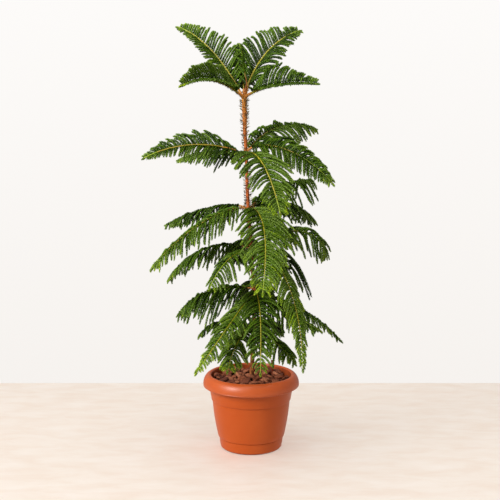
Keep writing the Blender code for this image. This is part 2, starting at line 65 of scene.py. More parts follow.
# height on the trunk, azimuth, rib length, slope at the trunk, slope at the tip, bend,
# swing, half width, taper, fold, arch, hang, uneven sides, roll, bare share
BOUGHS = {
    "t1": (0.874, 148, 0.263, 56, 18, 1.57, -3, 0.048, 1.50, 0.20, 0.30, 0.00, 0.25, 30, 0.08),
    "t2": (0.873, 227, 0.229, 34, -21, 0.93, 9, 0.030, 1.60, 0.60, 0.35, 0.00, 0.30, 42, 0.10),
    "t3": (0.876, 94, 0.240, 53, 14, 1.10, 0, 0.036, 1.00, 0.10, 0.35, 0.50, 0.00, 0, 0.06),
    "t4": (0.877, 42, 0.243, 72, 16, 0.90, -6, 0.057, 1.50, 0.15, 0.35, 0.00, -0.13, -32, 0.09),
    "t5": (0.874, 323, 0.207, 38, -5, 0.40, 1, 0.034, 1.00, 0.60, 0.35, 0.00, -0.30, -45, 0.10),
    "s1": (0.733, 194, 0.253, 24, -26, 0.98, 1, 0.046, 1.25, 0.10, 0.18, 0.12, 0.12, 40, 0.07),
    "s2": (0.728, 131, 0.290, 10, -16, 0.85, -4, 0.030, 1.25, 0.00, 0.30, 0.80, 0.00, 15, 0.08),
    "s3": (0.734, 288, 0.272, 23, -60, 0.60, 4, 0.064, 1.40, 0.00, 0.16, 0.18, 0.00, 0, 0.06),
    "s4": (0.736, 45, 0.249, 57, -15, 0.67, -9, 0.052, 1.25, 0.00, 0.30, 0.50, 0.00, -25, 0.06),
    "s5": (0.744, 337, 0.245, 51, -47, 0.40, 2, 0.050, 1.25, 0.00, 0.30, 0.20, 0.00, -32, 0.06),
    "u1": (0.604, 144, 0.254, 27, -26, 0.32, 10, 0.042, 1.60, 0.00, 0.25, 0.80, 0.00, 0, 0.10),
    "u2": (0.603, 206, 0.289, 17, -48, 0.43, -4, 0.050, 1.10, 0.00, 0.25, 0.75, 0.00, 0, 0.08),
    "u3": (0.602, 293, 0.315, 17, -65, 0.60, -36, 0.060, 1.80, 0.00, 0.15, 0.28, 0.00, 0, 0.06),
    "u4": (0.601, 50, 0.262, 14, -38, 1.00, -6, 0.048, 2.20, 0.00, 0.25, 0.60, 0.00, 0, 0.08),
    "u5": (0.605, 38, 0.216, 33, -3, 1.00, 4, 0.052, 4.00, 0.00, 0.40, 0.85, 0.00, 0, 0.08),
    "u6": (0.601, 318, 0.180, -7, -40, 0.90, -7, 0.036, 1.40, 0.00, 0.25, 0.50, 0.00, 0, 0.08),
    "v1": (0.503, 155, 0.263, 21, -55, 0.75, 2, 0.046, 1.10, 0.00, 0.20, 0.80, 0.00, 0, 0.08),
    "v2": (0.499, 239, 0.202, 6, -50, 1.14, 0, 0.045, 1.20, 0.00, 0.20, 0.60, -0.18, 0, 0.08),
    "v3": (0.500, 41, 0.150, 4, -48, 0.60, 0, 0.062, 6.00, 0.00, 0.60, 0.70, 0.00, 0, 0.0),
    "v4": (0.499, 311, 0.373, 27, -80, 0.46, -29, 0.030, 1.40, 0.00, 0.20, 0.80, 0.00, 0, 0.06),
    "v5": (0.504, 345, 0.226, 33, -98, 2.15, 11, 0.048, 3.00, 0.00, 0.20, 0.50, 0.00, -20, 0.06),
    "v6": (0.501, 100, 0.240, 20, -55, 1.00, 0, 0.046, 1.40, 0.00, 0.20, 0.60, 0.00, 0, 0.0),
    "w1": (0.404, 173, 0.217, 5, -56, 1.29, -10, 0.052, 1.00, 0.00, 0.20, 1.00, 0.00, 10, 0.06),
    "w2": (0.395, 244, 0.290, -22, -39, 0.80, -13, 0.042, 0.95, 0.00, 0.15, 0.35, 0.00, 0, 0.06),
    "w3": (0.398, 280, 0.262, 5, -80, 0.80, -15, 0.046, 1.40, 0.00, 0.15, 0.26, 0.00, 0, 0.0),
    "w4": (0.396, 3, 0.254, -18, -50, 1.40, 5, 0.034, 1.00, 0.00, 0.20, 0.70, 0.00, 0, 0.08),
    "w5": (0.391, 322, 0.200, -19, -22, 1.00, 5, 0.046, 1.40, 0.00, 0.20, 0.65, 0.00, 0, 0.0),
    "w6": (0.401, 86, 0.238, 12, -57, 1.00, 0, 0.046, 1.40, 0.00, 0.20, 0.60, 0.00, 0, 0.0),
    "x1": (0.306, 167, 0.156, 14, -64, 1.75, -7, 0.036, 1.40, 0.00, 0.20, 0.55, 0.00, 0, 0.0),
    "x2": (0.304, 243, 0.165, 6, -62, 0.90, 1, 0.048, 1.40, 0.00, 0.20, 0.45, 0.00, 0, 0.0),
    "x3": (0.301, 316, 0.148, -12, -40, 1.00, 0, 0.042, 1.40, 0.00, 0.20, 0.50, 0.00, 0, 0.0),
    "x4": (0.305, 68, 0.170, 14, -50, 1.00, 0, 0.044, 1.40, 0.00, 0.20, 0.50, 0.00, 0, 0.0),
}
SWEEP = 0.62


def trunk_x(z):
    return float(np.interp(z, TRUNK_HEIGHTS, TRUNK_LEAN_X))


def trunk_radius(z):
    flare = (TRUNK_FLARE_R - TRUNK_BASE_R) * math.exp(-(z - SOIL_TOP) / 0.010)
    top_whorl = BOUGHS["t1"][0]
    rise = min(1.0, max(0.0, (z - SWELL_Z[0]) / (SWELL_Z[1] - SWELL_Z[0])))
    swell = TRUNK_SWELL * rise * rise * (3 - 2 * rise)
    if z < top_whorl:
        body = TRUNK_BASE_R + (TRUNK_NECK_R - TRUNK_BASE_R) * (z - SOIL_TOP) / (top_whorl - SOIL_TOP) + swell
    else:
        share = (z - top_whorl) / (TRUNK_HEIGHTS[-1] - top_whorl)
        body = LEADER_R + (TIP_R - LEADER_R) * share
        body += (TRUNK_NECK_R + swell - LEADER_R) * math.exp(-(z - top_whorl) / 0.006)
    return body + flare


def unit(v):
    return v / np.linalg.norm(v, axis=-1, keepdims=True)


# ---------------------------------------------------------------- materials
def srgb(r, g, b):
    def one(c):
        c /= 255.0
        return c / 12.92 if c <= 0.04045 else ((c + 0.055) / 1.055) ** 2.4

    return (one(r), one(g), one(b), 1.0)


def material(name, colour, roughness, **settings):
    made = bpy.data.materials.new(name)
    made.use_nodes = True
    shader = made.node_tree.nodes["Principled BSDF"]
    shader.inputs["Base Color"].default_value = colour
    shader.inputs["Roughness"].default_value = roughness
    for key, value in settings.items():
        shader.inputs[key.replace("_", " ")].default_value = value
    return made


def nodes_of(made):
    tree = made.node_tree
    return tree.nodes, tree.links, tree.nodes["Principled BSDF"]


def add_noise(made, scale, detail=4.0, roughness=0.5, stretch=(1, 1, 1), distortion=0.0):
    """A noise texture in object space, stretched along an axis if asked."""
    nodes, links, _ = nodes_of(made)
    place = nodes.new("ShaderNodeTexCoord")
    scaled = nodes.new("ShaderNodeMapping")
    scaled.inputs["Scale"].default_value = stretch
    texture = nodes.new("ShaderNodeTexNoise")
    texture.inputs["Scale"].default_value = scale
    texture.inputs["Detail"].default_value = detail
    texture.inputs["Roughness"].default_value = roughness
    texture.inputs["Distortion"].default_value = distortion
    links.new(place.outputs["Object"], scaled.inputs["Vector"])
    links.new(scaled.outputs["Vector"], texture.inputs["Vector"])
    return texture


def ramp(made, source, stops):
    """A colour ramp over a value, with (place, colour) stops."""
    nodes, links, _ = nodes_of(made)
    band = nodes.new("ShaderNodeValToRGB")
    elements = band.color_ramp.elements
    while len(elements) < len(stops):
        elements.new(0.5)
    for element, (place, colour) in zip(elements, stops):
        element.position = place
        element.color = colour
    links.new(source, band.inputs["Fac"])
    return band


def grey(value):
    return (value, value, value, 1.0)


def bump(made, height, distance, strength=1.0, under=None):
    nodes, links, shader = nodes_of(made)
    node = nodes.new("ShaderNodeBump")
    node.inputs["Distance"].default_value = distance
    node.inputs["Strength"].default_value = strength
    links.new(height, node.inputs["Height"])
    if under is not None:
        links.new(under.outputs["Normal"], node.inputs["Normal"])
    links.new(node.outputs["Normal"], shader.inputs["Normal"])
    return node


# needles: plain greens, dealt out twig by twig, and needle by needle with painted light and shade (lighter facing up,
# darker under the twig and near the rib)
GREENS = {
    "needle_deep": (20, 35, 5),
    "needle_dark": (43, 68, 10),
    "needle_mid": (80, 111, 16),
    "needle_bloom": (110, 136, 56),
    "needle_fresh": (132, 160, 26),
    "needle_tip": (172, 194, 44),
}
GREEN_ORDER = list(GREENS)
green_materials = [material(name, srgb(*GREENS[name]), 0.50, Specular_IOR_Level=0.10) for name in GREEN_ORDER]
spine_brown = material("spine_brown", srgb(92, 74, 48), 0.6)
spine_dark = material("spine_dark", srgb(58, 56, 36), 0.6)

twig_green = material("twig_green", srgb(98, 128, 26), 0.5)
twig_dark = material("twig_dark", srgb(60, 86, 18), 0.5)

rib_orange = material("rib_orange", srgb(190, 122, 42), 0.55)
rib_olive = material("rib_olive", srgb(146, 128, 22), 0.5)
rib_yellow = material("rib_yellow", srgb(150, 142, 10), 0.5)
rib_green = material("rib_green", srgb(130, 150, 22), 0.5)


# ---------------------------------------------------------------- mesh helpers
def mesh_object(name, points, faces, materials, index=None, smooth=False):
    """One mesh from arrays of points and triangles."""
    points = np.asarray(points, np.float32)
    faces = np.asarray(faces, np.int32)
    mesh = bpy.data.meshes.new(name)
    mesh.vertices.add(len(points))
    mesh.vertices.foreach_set("co", points.ravel())
    mesh.loops.add(faces.size)
    mesh.loops.foreach_set("vertex_index", faces.ravel())
    mesh.polygons.add(len(faces))
    mesh.polygons.foreach_set("loop_start", np.arange(0, faces.size, 3, dtype=np.int32))
    for made in materials:
        mesh.materials.append(made)
    if index is not None:
        mesh.polygons.foreach_set("material_index", np.asarray(index, np.int32))
    mesh.polygons.foreach_set("use_smooth", np.full(len(faces), smooth, bool))
    mesh.update(calc_edges=True)
    obj = bpy.data.objects.new(name, mesh)
    bpy.context.scene.collection.objects.link(obj)
    return obj


class Pile:
    """Points, triangles and material indices of many small solids, to be joined."""

    def __init__(self):
        self.points, self.faces, self.index, self.count = [], [], [], 0

    def add(self, points, faces, index):
        self.points.append(points)
        self.faces.append(faces + self.count)
        self.index.append(np.broadcast_to(index, len(faces)))
        self.count += len(points)

    def triangles(self):
        return sum(len(f) for f in self.faces)

    def object(self, name, materials, smooth=False):
        return mesh_object(
            name, np.concatenate(self.points), np.concatenate(self.faces), materials, np.concatenate(self.index), smooth
        )


NEEDLE_FACES = np.array([(0, 1, 2), (1, 3, 2), (0, 3, 1), (0, 2, 3)])


def needle_solids(place, along, out, length, width, mid_angle, tip_angle, foot=0.0002):
    """Closed incurved needles: a foot in the twig, a broad back, a point."""
    side = unit(np.cross(along, out))
    length = length[:, None]
    width = width[:, None]
    a, b = mid_angle[:, None], tip_angle[:, None]
    foot_points = place + out * foot
    middle = place + along * (0.46 * length * np.cos(a)) + out * (foot + 0.46 * length * np.sin(a))
    tip = place + along * (length * np.cos(b)) + out * (foot + length * np.sin(b))
    points = np.stack([foot_points, middle + side * width / 2, middle - side * width / 2, tip], axis=1)
    count = len(place)
    faces = (NEEDLE_FACES[None] + 4 * np.arange(count)[:, None, None]).reshape(-1, 3)
    return points.reshape(-1, 3), faces


def tubes(paths, radii, sides, up):
    """Closed tapering tubes. paths: (n, k, 3), radii: (n, k), up: (n, 3)."""
    n, k, _ = paths.shape
    along = np.gradient(paths, axis=1)
    along = unit(along)
    first = unit(np.cross(along, up[:, None, :]))
    second = np.cross(first, along)
    turn = 2 * np.pi * np.arange(sides) / sides
    ring = first[:, :, None, :] * np.cos(turn)[None, None, :, None] + second[:, :, None, :] * np.sin(turn)[None, None, :, None]
    points = paths[:, :, None, :] + ring * radii[:, :, None, None]
    ends = paths[:, [0, -1]]
    points = np.concatenate([points.reshape(n, k * sides, 3), ends], axis=1)
    faces = []
    for r in range(k - 1):
        for s in range(sides):
            a, b = r * sides + s, r * sides + (s + 1) % sides
            c, d = a + sides, b + sides
            faces += [(a, c, b), (b, c, d)]
    for s in range(sides):
        faces.append((k * sides, s, (s + 1) % sides))
        faces.append((k * sides + 1, (k - 1) * sides + (s + 1) % sides, (k - 1) * sides + s))
    faces = np.array(faces)
    per = k * sides + 2
    all_faces = (faces[None] + per * np.arange(n)[:, None, None]).reshape(-1, 3)
    return points.reshape(-1, 3), all_faces, len(faces)


# ---------------------------------------------------------------- boughs
class Bough:
    """One bough's rib and the curved sheet that its twigs lie in."""

    def __init__(self, name, row):
        self.name = name
        (self.z, self.azimuth, self.length, self.slope0, self.slope1, self.bend, self.swing,
         self.width, self.taper, self.fold, self.arch, self.hang, self.uneven_sides, self.roll, self.bare) = row
        self.steps = 60
        centre = np.array([trunk_x(self.z), 0.0, self.z])
        heading = math.radians(self.azimuth)
        outward = np.array([math.cos(heading), math.sin(heading), 0.0])
        self.points = [centre + outward * trunk_radius(self.z)]
        self.tangents = []
        step = self.length / self.steps
        for i in range(self.steps):
            t = (i + 0.5) / self.steps
            slope = math.radians(self.slope0 + (self.slope1 - self.slope0) * t**self.bend)
            way = math.radians(self.azimuth + self.swing * t)
            d = np.array([math.cos(slope) * math.cos(way), math.cos(slope) * math.sin(way), math.sin(slope)])
            self.tangents.append(d)
            self.points.append(self.points[-1] + d * step)
        self.tangents.append(self.tangents[-1])
        self.points = np.array(self.points)
        self.tangents = np.array(self.tangents)

    def at(self, t):
        index = np.clip(t, 0, 1) * self.steps
        knots = np.arange(self.steps + 1)
        place = np.array([np.interp(index, knots, self.points[:, k]) for k in range(3)])
        along = np.array([np.interp(index, knots, self.tangents[:, k]) for k in range(3)])
        along /= np.linalg.norm(along)
        way = math.radians(self.azimuth + self.swing * t)
        side = np.array([-math.sin(way), math.cos(way), 0.0])
        upper = np.cross(along, side)
        upper /= np.linalg.norm(upper)
        side = np.cross(upper, along)
        roll = math.radians(self.roll) * min(1.0, t / 0.25)
        side, upper = side * math.cos(roll) - upper * math.sin(roll), upper * math.cos(roll) + side * math.sin(roll)
        return place, along, side, upper

    def half_width(self, t):
        start = 0.78 + 0.22 * min(1.0, max(0.0, t - self.bare) / 0.16)
        end = 1.0 - 0.80 * max(0.0, (t - 0.30) / 0.70) ** self.taper
        return self.width * start * end


# How each bough looks: mean green (0 deep .. 5 tip), rib kind, spacing of its twigs (mm)
LOOKS = {
    "t1": (1.8, "yellow", 8.4), "t2": (2.0, "olive", 7.4), "t3": (1.2, "olive", 8.8), "t4": (1.4, "yellow", 8.2), "t5": (1.6, "olive", 7.0),
    "s1": (1.5, "orange", 6.8), "s2": (1.5, "olive", 9.5), "s3": (2.3, "yellow", 9.2), "s4": (1.9, "olive", 8.2), "s5": (1.5, "olive", 6.2),
    "u1": (1.2, "olive", 8.6), "u2": (2.0, "orange", 8.8), "u3": (2.5, "yellow", 8.8), "u4": (1.6, "olive", 8.8), "u5": (2.0, "olive", 9.4), "u6": (1.5, "olive", 8.8),
    "v1": (1.6, "olive", 9.2), "v2": (1.9, "olive", 12.0), "v3": (0.8, "olive", 14.0), "v4": (2.6, "yellow", 7.6), "v5": (1.8, "olive", 10.5), "v6": (0.9, "olive", 9.2),
    "w1": (1.5, "olive", 6.4), "w2": (2.3, "yellow", 8.0), "w3": (1.7, "yellow", 7.8), "w4": (1.8, "olive", 8.8), "w5": (1.6, "olive", 8.0), "w6": (1.2, "olive", 8.8),
    "x1": (1.5, "olive", 8.2), "x2": (2.4, "yellow", 7.0), "x3": (1.9, "olive", 7.0), "x4": (1.1, "olive", 7.2),
}
TWIG_KNOTS = 7  # points along a twig, less one
NEEDLE_L = 0.0057
NEEDLE_W = 0.0024
NEEDLES_PER_M = 1820
TWIG_R = 0.0021

boughs = {name: Bough(name, row) for name, row in BOUGHS.items()}


def twigs_of(bough):
    """Paths, upper directions, places on the rib and sides of a bough's twigs."""
    rng = np.random.default_rng(sum(ord(c) * 31**i for i, c in enumerate(bough.name + "twigs")))
    spacing = 0.86 * LOOKS[bough.name][2] / 1000
    wild = {"t": 0.2, "s": 0.6, "u": 0.9, "v": 1.1}.get(bough.name[0], 1.4)
    # the low old boughs have few twigs left toward their tips
    loose = 0.55 if bough.name in ("v4", "w3", "w4") else {"w": 0.20, "x": -0.10}.get(bough.name[0], -0.28)
    paths, uppers, shares, sides = [], [], [], []
    x = np.linspace(0, 1, TWIG_KNOTS + 1)
    for s in (-1, 1):
        t = max(bough.bare, 0.02) + rng.uniform(0, 0.5) * spacing / bough.length
        while t < 0.975:
            place, along, side, upper = bough.at(t)
            short = 1.0 if rng.random() > 0.07 else rng.uniform(0.55, 0.85)
            w = bough.half_width(t) * (1 - bough.uneven_sides * s) * (1 + rng.normal(0, 0.04 + 0.07 * wild)) * short
            w = max(w - 0.0022, 0.005)
            near = max(0.0, (t - 0.6) / 0.4)
            forward = SWEEP * (1 - 0.55 * near) + 0.35 * near**2
            lean = rng.normal(0, 0.04 + 0.09 * wild)
            lift = rng.normal(0, 0.03 + 0.09 * wild)
            arch = bough.arch * (1 + rng.normal(0, 0.15)) + rng.normal(0, 0.03 * wild)
            hang = bough.hang * (1 + rng.normal(0, 0.12))
            curl = rng.normal(0.0, 0.03 + 0.10 * wild)
            path = (
                place
                + np.outer(s * w * x, side)
                + np.outer(w * (forward * x * (0.75 + 0.25 * x) + lean * x + curl * (x**2 - x)), along)
                + np.outer(w * (bough.fold * x + lift * x), upper)
                + np.outer(w * (2.2 * arch * (x - x**2) - 1.25 * hang * x**2), np.array([0, 0, 1.0]))
            )
            paths.append(path)
            uppers.append(upper)
            shares.append(t)
            sides.append(s)
            t += spacing / bough.length * (1 + rng.normal(0, 0.10)) * (1 + loose * near)
    # the rib's own tip
    place, along, side, upper = bough.at(1.0)
    paths.append(place + np.outer(x * 0.010 - 0.004, along))
    uppers.append(upper)
    shares.append(1.0)
    sides.append(0)
    return np.array(paths), np.array(uppers), np.array(shares), np.array(sides)


def along_path(values, which, x):
    index = np.clip(x, 0, 1) * TWIG_KNOTS
    low = np.minimum(index.astype(int), TWIG_KNOTS - 1)
    part = (index - low)[:, None]
    return values[which, low] * (1 - part) + values[which, low + 1] * part


def dress(bough, needles, twigs):
    """Adds a bough's twigs and needles to the piles."""
    rng = np.random.default_rng(sum(ord(c) * 31**i for i, c in enumerate(bough.name + "needles")))
    paths, uppers, shares, sides = twigs_of(bough)
    count = len(paths)
    along = unit(np.gradient(paths, axis=1))
    upper = uppers[:, None, :] - along * np.sum(along * uppers[:, None, :], axis=-1, keepdims=True)
    upper = unit(upper)
    cross = np.cross(along, upper)
    lengths = np.linalg.norm(np.diff(paths, axis=1), axis=-1).sum(1)

    tone = LOOKS[bough.name][0]
    # How far the bough's end brightens toward its youngest growth.
    young = {"v4": 0.5, "w4": 0.6, "v6": 0.3, "s1": 0.9, "t1": 1.1, "t4": 1.0, "w2": 2.4, "w3": 2.0, "u2": 1.8}.get(bough.name, 1.4)
    twig_tone = tone + rng.normal(0, 0.35 if bough.name in ("t1", "t3", "t4", "s3") else 0.55, count) + young * np.clip((shares - 0.70) / 0.30, 0, 1) ** 1.3

    # thin where it leaves the rib, so that the rib's face stays clear
    reach = np.linspace(0, 1, TWIG_KNOTS + 1)[None] * lengths[:, None]
    radii = TWIG_R * (0.50 + 0.50 * np.clip(reach / 0.009, 0, 1)) * (1 - 0.25 * reach / lengths[:, None])
    points, faces, per = tubes(paths, radii, 3, uppers)
    kind = np.where(rng.random(count) < np.clip((tone - 1.0) / 1.6, 0.05, 0.95), 0, 1)
    twigs.add(points, faces, np.repeat(kind, per))

    amount = np.maximum(6, (lengths * NEEDLES_PER_M).astype(int))
    which = np.repeat(np.arange(count), amount)
    order = np.concatenate([np.arange(n) for n in amount])
    x = (order + rng.uniform(0, 1, len(which))) / amount[which]
    start = {"t": 0.0028, "s": 0.0019}.get(bough.name[0], 0.0012)
    x = np.where(shares[which] >= 1.0, x, np.maximum(x, start / lengths[which]))
    turn = order * math.radians(137.5) + rng.normal(0, 0.25, len(which))
    place = along_path(paths, which, x)
    t = unit(along_path(along, which, x))
    n = along_path(upper, which, x)
    b = along_path(cross, which, x)
    close = x * lengths[which]  # metres from the rib
    # near the rib the needles lie flat to both sides of the twig, and leave the rib's face clear
    stand = 0.30 + 0.56 * np.clip((close - 0.003) / 0.007, 0, 1)
    out = unit(n * (np.cos(turn) * stand)[:, None] + b * np.sin(turn)[:, None])
    left = (1 - x) * lengths[which]  # metres from the twig's tip
    size = np.clip(0.92 + close / 0.030, 0, 1) * (0.60 + 0.40 * np.clip(left / 0.006, 0, 1)) * rng.normal(1, 0.07, len(x))
    length = NEEDLE_L * np.clip(size, 0.4, 1.25)
    width = NEEDLE_W * np.clip(rng.normal(1, 0.12, len(x)), 0.6, 1.5)
    fade = np.clip(left / 0.006, 0, 1)
    mid_angle = np.radians(40 + 14 * fade + 10 * np.clip(1 - close / 0.012, 0, 1) + rng.normal(0, 4, len(x)))
    tip_angle = np.radians(18 + 14 * fade + rng.normal(0, 4, len(x)))
    points, faces = needle_solids(place, t, out, length, width, mid_angle, tip_angle)
    # painted shade: the -0.6 darkens needles within 12 mm of the rib, where the twigs crowd; the brighter twig tips are
    # young growth
    green = twig_tone[which] + rng.normal(0, 0.22, len(x)) + 0.75 * (left < 0.009) - 0.6 * (close < 0.012) - 0.15
    green += 0.9 * np.clip(out[:, 2], -1, 0.6)  # painted light: needles pointing up get a lighter green and those under the twig a darker one, as painted shade
    green = np.clip(np.round(green), 0, 5).astype(int)
    needles.add(points, faces, np.repeat(green, 4))
    rib_needles(bough, needles, rng, tone)
    return count, len(x), lengths.sum()


def rib_needles(bough, needles, rng, tone):
    """Needles on the rib's two sides and underside, leaving its upper face bare."""
    count = int(bough.length * (1 - bough.bare) * 1900)
    shares = np.sort(rng.uniform(max(bough.bare, 0.03), 0.995, count))
    spots = [bough.at(t) for t in shares]
    place = np.array([q[0] for q in spots])
    along = np.array([q[1] for q in spots])
    side = np.array([q[2] for q in spots])
    upper = np.array([q[3] for q in spots])
    turn = np.where(rng.random(count) < 0.5, 0.0, np.pi) + rng.uniform(-0.30, 0.30, count)
    out = side * np.cos(turn)[:, None] + upper * np.sin(turn)[:, None]
    length = NEEDLE_L * rng.uniform(0.8, 1.15, count) * (1 - 0.20 * shares)
    tilt = np.radians(rng.normal(50, 8, count))
    points, faces = needle_solids(place, along, out, length, np.full(count, NEEDLE_W * 1.05), tilt + 0.2, tilt, foot=0.0012)
    green = np.clip(np.round(tone + 0.3 + rng.normal(0, 0.35, count)), 0, 5).astype(int)
    needles.add(points, faces, np.repeat(green, 4))


totals = [0, 0, 0.0]
twigs = Pile()
for whorl in "tsuvwx":
    pile = Pile()
    members = [n for n in BOUGHS if n[0] == whorl]
    for name in members:
        made = dress(boughs[name], pile, twigs)
        totals = [a + b for a, b in zip(totals, made)]
    piece = pile.object("needles_" + whorl, green_materials)
    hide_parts(*["foliage_" + n for n in members])
    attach(piece, "root")
    print("needles", whorl, pile.triangles())
piece = twigs.object("twigs", [twig_green, twig_dark], smooth=True)
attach(piece, "root")
print("twigs", twigs.triangles(), "totals", totals)


# ---------------------------------------------------------------- ribs and limbs
def rib_solids():
    """Every bough's rib, from inside the trunk to its tip, with low knobs where the twigs leave."""
    pile = Pile()
    kinds = {"yellow": (0, 1, 2, 2, 3), "olive": (0, 1, 1, 3, 3), "orange": (0, 0, 1, 1, 3)}
    sides, per_mm = 8, 0.30
    for name, bough in boughs.items():
        rng = np.random.default_rng(sum(ord(c) * 31**i for i, c in enumerate(name + "rib")))
        knots = max(30, int(bough.length * 1000 * per_mm))
        shares = np.linspace(0, 1, knots)
        place, _, _, upper = zip(*(bough.at(t) for t in shares))
        place, upper = np.array(place), np.array(upper)
        # the rib stands proud of its twigs: over them, or under them on the two low boughs of the top whorl
        proud = {"t2": -0.0010, "t5": -0.0010, "t1": 0.0018, "t4": 0.0018, "s1": 0.0014}.get(name, 0.0005)
        place = place + upper * (proud * np.clip(shares / 0.1, 0, 1))[:, None]
        start = bough.at(0.0)[1]
        place = np.concatenate([[place[0] - start * trunk_radius(bough.z) * 0.8], place])
        upper = np.concatenate([[upper[0]], upper])
        shares = np.concatenate([[0.0], shares])
        radii = {"t": 0.00290, "s": 0.00235}.get(name[0], 0.00180) - 0.0007 * shares**0.8
        radii = radii * (1 + 0.9 * np.exp(-shares * bough.length / 0.006) * 0.5)
        radii = radii * (1 + 0.10 * np.sin(shares * bough.length / 0.0075 * 2 * np.pi) + rng.normal(0, 0.05, len(radii)))
        points, faces, per = tubes(place[None], radii[None], sides, upper[:1])
        bands = kinds[LOOKS[name][1]]
        along = np.repeat(shares[:-1], sides * 2)
        along = np.concatenate([along, np.repeat([0.0, 1.0], sides)])[: len(faces)]
        cut = np.array([0.07, 0.22, 0.55, 0.86])
        index = np.array(bands)[np.searchsorted(cut, along + rng.normal(0, 0.012, len(along)))]
        pile.add(points, faces, index)
    return pile


ribs = rib_solids()
piece = ribs.object("bough_bark", [rib_orange, rib_olive, rib_yellow, rib_green], smooth=True)
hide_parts(*["limb_" + n for n, row in BOUGHS.items() if row[-1] > 0])
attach(piece, "root")
print("ribs", ribs.triangles())


# ---------------------------------------------------------------- trunk
bark = material("bark", srgb(150, 84, 40), 0.55, Specular_IOR_Level=0.35)
nodes, links, shader = nodes_of(bark)
height = nodes.new("ShaderNodeSeparateXYZ")
coordinates = nodes.new("ShaderNodeTexCoord")
links.new(coordinates.outputs["Object"], height.inputs["Vector"])
by_height = nodes.new("ShaderNodeMapRange")
by_height.inputs["From Min"].default_value = 0.16
by_height.inputs["From Max"].default_value = 0.96
links.new(height.outputs["Z"], by_height.inputs["Value"])
base_tone = ramp(
    bark, by_height.outputs["Result"],
    [(0.0, srgb(168, 104, 52)), (0.30, srgb(152, 76, 32)), (0.62, srgb(174, 84, 30)), (0.78, srgb(186, 100, 34)),
     (0.885, srgb(190, 122, 34)), (0.92, srgb(160, 92, 52)), (0.97, srgb(112, 104, 36))],
)
flakes = add_noise(bark, 300.0, 3.0, 0.6, stretch=(1.0, 1.0, 0.40))
flake_tone = ramp(bark, flakes.outputs["Fac"], [(0.34, grey(0.30)), (0.46, grey(0.80)), (0.58, grey(1.15)), (0.68, grey(1.9))])
mix = nodes.new("ShaderNodeMix")
mix.data_type = "RGBA"
mix.blend_type = "MULTIPLY"
mix.inputs["Factor"].default_value = 1.0
links.new(base_tone.outputs["Color"], mix.inputs["A"])
links.new(flake_tone.outputs["Color"], mix.inputs["B"])
links.new(mix.outputs["Result"], shader.inputs["Base Color"])
bump(bark, flakes.outputs["Fac"], 0.0006, 0.8)


def trunk_bark():
    """The trunk as a mesh with its relief: leaf cushions in spiral rows, whorl collars, flakes and a ribbed foot."""
    sides = 26
    top = TRUNK_HEIGHTS[-1]
    start = SOIL_TOP + 0.0004
    heights = np.concatenate([np.arange(start, 0.21, 0.0011), np.arange(0.21, 0.74, 0.0018), np.arange(0.74, top - 0.0008, 0.0012), [top]])
    whorls = sorted({round(row[0], 2) for row in BOUGHS.values()})
    turn = 2 * np.pi * np.arange(sides) / sides
    points = []
    for z in heights:
        r = trunk_radius(z)
        collar = sum(math.exp(-(((z - w) / 0.0045) ** 2)) for w in whorls) if z < 0.9 else 0.0
        young = min(1.0, max(0.0, (z - 0.735) / 0.05)) if z < 0.88 else 0.4
        for a in turn:
            # cushions: two families of spirals, 8 one way and 5 the other
            row = math.cos(8 * a + 2 * math.pi * z / 0.0125) + math.cos(5 * a - 2 * math.pi * z / 0.0170)
            cushion = max(0.0, row / 2) ** 1.5
            groove = math.cos(3 * a + 6 * z + 0.8)
            lump = noise.noise(Vector((math.cos(a) * 2.4, math.sin(a) * 2.4, z * 160)))
            flare = math.exp(-(z - start) / 0.012) * 0.10 * math.sin(a * 3 + 1.0)
            flake = max(0.0, noise.noise(Vector((math.cos(a) * 5, math.sin(a) * 5, z * 420 + 7))))
            rr = r * (1 + (0.05 + 0.10 * young) * cushion - 0.03 + 0.06 * young * groove + 0.06 * lump + flare + 0.05 * flake)
            rr += 0.0007 * min(collar, 1.2)
            rr = max(rr, 0.0006)
            points.append((trunk_x(z) + rr * math.cos(a), rr * math.sin(a), z))
    rings = len(heights)
    points += [(trunk_x(start), 0.0, start), (trunk_x(top), 0.0, top + 0.0006)]
    faces = []
    for k in range(rings - 1):
        for i in range(sides):
            a, b = k * sides + i, k * sides + (i + 1) % sides
            faces += [(a, b, a + sides), (b, b + sides, a + sides)]
    for i in range(sides):
        faces.append((rings * sides, (i + 1) % sides, i))
        faces.append((rings * sides + 1, (rings - 1) * sides + i, (rings - 1) * sides + (i + 1) % sides))
    return np.array(points), np.array(faces)


points, faces = trunk_bark()
piece = mesh_object("trunk_bark", points, faces, [bark], smooth=True)
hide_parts("trunk")
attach(piece, "root")
print("trunk", len(faces))

spine_pale = material("spine_pale", srgb(168, 158, 128), 0.6)


